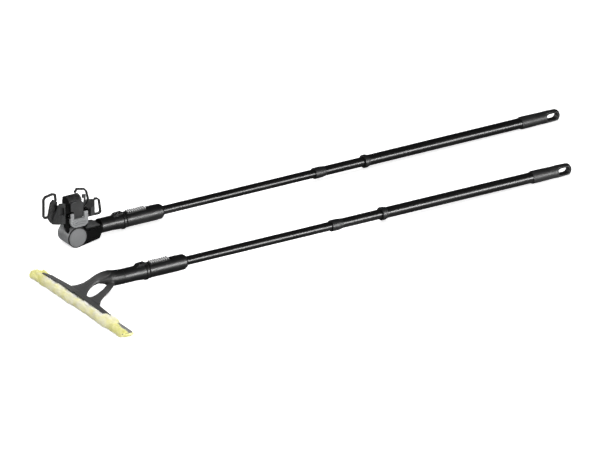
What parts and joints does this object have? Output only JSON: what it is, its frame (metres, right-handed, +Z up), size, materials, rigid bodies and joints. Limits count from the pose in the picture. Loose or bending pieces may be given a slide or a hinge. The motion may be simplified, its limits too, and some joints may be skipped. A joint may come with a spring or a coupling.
{
  "type": "window cleaning pole system",
  "caption": "Telescopic pole with a tilting cradle for a hand-held window vacuum, beside a matching pole with a T-shaped washer head and microfibre cover.",
  "frame": {"origin": "middle of the footprint, on the ground that both poles lie on", "axes": "+X along the poles from the heads to the grips, +Y from the washer pole to the vac pole, +Z up"},
  "size_m": [1.3493, 0.4692, 0.1229],
  "materials": {
    "tube_paint": "gloss powder coat",
    "grip_plastic": "fine satin grain",
    "collar_plastic": "satin",
    "head_plastic": "satin, fine grain",
    "grey_plastic": "satin",
    "light_plastic": "satin",
    "mid_plastic": "satin",
    "slider_plastic": "satin, worn pale on the ribs",
    "button_plastic": "satin",
    "black_plastic": "satin",
    "cradle_plastic": "satin, fine grain",
    "nylon": "satin",
    "pad_rubber": "textured, matte",
    "steel": "brushed",
    "bar_plastic": "satin",
    "fleece": "deep microfibre pile"
  },
  "bodies": {
    "vac_pole": {"vac_grip": "grip_plastic", "vac_end_plug": "collar_plastic", "vac_outer_tube": "tube_paint", "vac_outer_collar": "collar_plastic", "vac_outer_bush": "nylon"},
    "vac_middle_lock": {"vac_middle_lock_sleeve": "nylon"},
    "vac_middle": {"vac_middle_tube": "tube_paint", "vac_middle_lock_spindle": "grey_plastic", "vac_middle_collar": "collar_plastic", "vac_middle_bush": "nylon"},
    "vac_inner_lock": {"vac_inner_lock_sleeve": "nylon"},
    "vac_inner": {"vac_inner_tube": "tube_paint", "vac_inner_lock_spindle": "grey_plastic", "vac_cuff": "head_plastic"},
    "vac_release": {"vac_release_slider": "slider_plastic"},
    "washer_pole": {"washer_grip": "grip_plastic", "washer_end_plug": "collar_plastic", "washer_outer_tube": "tube_paint", "washer_outer_collar": "collar_plastic", "washer_outer_bush": "nylon"},
    "washer_middle_lock": {"washer_middle_lock_sleeve": "nylon"},
    "washer_middle": {"washer_middle_tube": "tube_paint", "washer_middle_lock_spindle": "grey_plastic", "washer_middle_collar": "collar_plastic", "washer_middle_bush": "nylon"},
    "washer_inner_lock": {"washer_inner_lock_sleeve": "nylon"},
    "washer_inner": {"washer_inner_tube": "tube_paint", "washer_inner_lock_spindle": "grey_plastic", "washer_cuff": "head_plastic"},
    "washer_release": {"washer_release_slider": "slider_plastic"},
    "vac_head": {"vac_adapter": "head_plastic", "vac_neck": "black_plastic", "vac_neck_cover": "grey_plastic", "hinge_back_knuckle": "mid_plastic", "hinge_axle": "steel", "hinge_detent_ring": "grey_plastic", "hinge_back_cap": "head_plastic", "hinge_screw": "steel"},
    "cradle": {"tilt_knuckle": "mid_plastic", "button_bezel": "head_plastic", "button_spring": "steel", "yoke": "head_plastic", "cradle_block": "head_plastic", "cradle_front_plate": "cradle_plastic", "cradle_pad": "pad_rubber", "front_shell": "cradle_plastic", "front_ear": "pad_rubber", "front_strap_loop": "head_plastic", "rear_ear": "head_plastic", "rear_ear_pad": "grey_plastic", "rear_strap_loop": "head_plastic", "back_strap_loop": "head_plastic", "strap_tab": "grey_plastic", "lever_pins": "steel"},
    "tilt_button": {"tilt_button": "button_plastic"},
    "clamp_lever": {"clamp_lever": "light_plastic"},
    "washer_head": {"washer_adapter": "head_plastic", "washer_neck": "head_plastic", "cover_bar": "bar_plastic"},
    "washer_cover": {"fleece_cover": "fleece"}
  },
  "joints": [
    {"name": "vac_middle_slide", "type": "slide", "parent": "vac_pole", "child": "vac_middle_lock", "axis": [-0.9999, 0, 0.0105], "range_m": [-0.0855, 0.238]},
    {"name": "vac_middle_twist", "type": "hinge", "parent": "vac_middle_lock", "child": "vac_middle", "pos_m": [0.18363, 0.2104, 0.01865], "axis": [-0.9999, 0, 0.0105], "range_deg": [0, 90]},
    {"name": "vac_inner_slide", "type": "slide", "parent": "vac_middle", "child": "vac_inner_lock", "axis": [-0.9999, 0, 0.0105], "range_m": [-0.321, 0]},
    {"name": "vac_inner_twist", "type": "hinge", "parent": "vac_inner_lock", "child": "vac_inner", "pos_m": [0.06264, 0.2104, 0.01992], "axis": [-0.9999, 0, 0.0105], "range_deg": [0, 90]},
    {"name": "vac_release_slide", "type": "slide", "parent": "vac_inner", "child": "vac_release", "axis": [0.9999, 0, -0.0105], "range_m": [0, 0.006], "stiffness_N_per_m": 800, "springref_m": -0.002},
    {"name": "vac_head_pull", "type": "slide", "parent": "vac_inner", "child": "vac_head", "axis": [-0.9999, 0, 0.0105], "range_m": [0, 0.08]},
    {"name": "washer_lift", "type": "slide", "parent": "vac_pole", "child": "washer_pole", "axis": [0, 0, 1], "range_m": [0, 0.3]},
    {"name": "washer_middle_slide", "type": "slide", "parent": "washer_pole", "child": "washer_middle_lock", "axis": [-0.9999, 0, 0.0165], "range_m": [-0.0855, 0.238]},
    {"name": "washer_middle_twist", "type": "hinge", "parent": "washer_middle_lock", "child": "washer_middle", "pos_m": [0.06357, -0.0396, 0.02125], "axis": [-0.9999, 0, 0.0165], "range_deg": [0, 90]},
    {"name": "washer_inner_slide", "type": "slide", "parent": "washer_middle", "child": "washer_inner_lock", "axis": [-0.9999, 0, 0.0165], "range_m": [-0.321, 0]},
    {"name": "washer_inner_twist", "type": "hinge", "parent": "washer_inner_lock", "child": "washer_inner", "pos_m": [-0.05741, -0.0396, 0.02325], "axis": [-0.9999, 0, 0.0165], "range_deg": [0, 90]},
    {"name": "washer_release_slide", "type": "slide", "parent": "washer_inner", "child": "washer_release", "axis": [0.9999, 0, -0.0165], "range_m": [0, 0.006], "stiffness_N_per_m": 800, "springref_m": -0.002},
    {"name": "washer_head_pull", "type": "slide", "parent": "washer_inner", "child": "washer_head", "axis": [-0.9999, 0, 0.0165], "range_m": [0, 0.08]},
    {"name": "cradle_tilt", "type": "hinge", "parent": "vac_head", "child": "cradle", "pos_m": [-0.51737, 0.2104, 0.022], "axis": [0, -1, 0], "range_deg": [0, 90]},
    {"name": "tilt_button_press", "type": "slide", "parent": "cradle", "child": "tilt_button", "axis": [0, 1, 0], "range_m": [0, 0.003], "stiffness_N_per_m": 1500, "springref_m": -0.001},
    {"name": "clamp_lever_swing", "type": "hinge", "parent": "cradle", "child": "clamp_lever", "pos_m": [-0.51684, 0.1914, 0.073], "axis": [-0.9999, 0, 0.0105], "range_deg": [0, 60]},
    {"name": "cover_pull", "type": "slide", "parent": "washer_head", "child": "washer_cover", "axis": [-0.9999, 0, 0.0165], "range_m": [0, 0.06]}
  ]
}
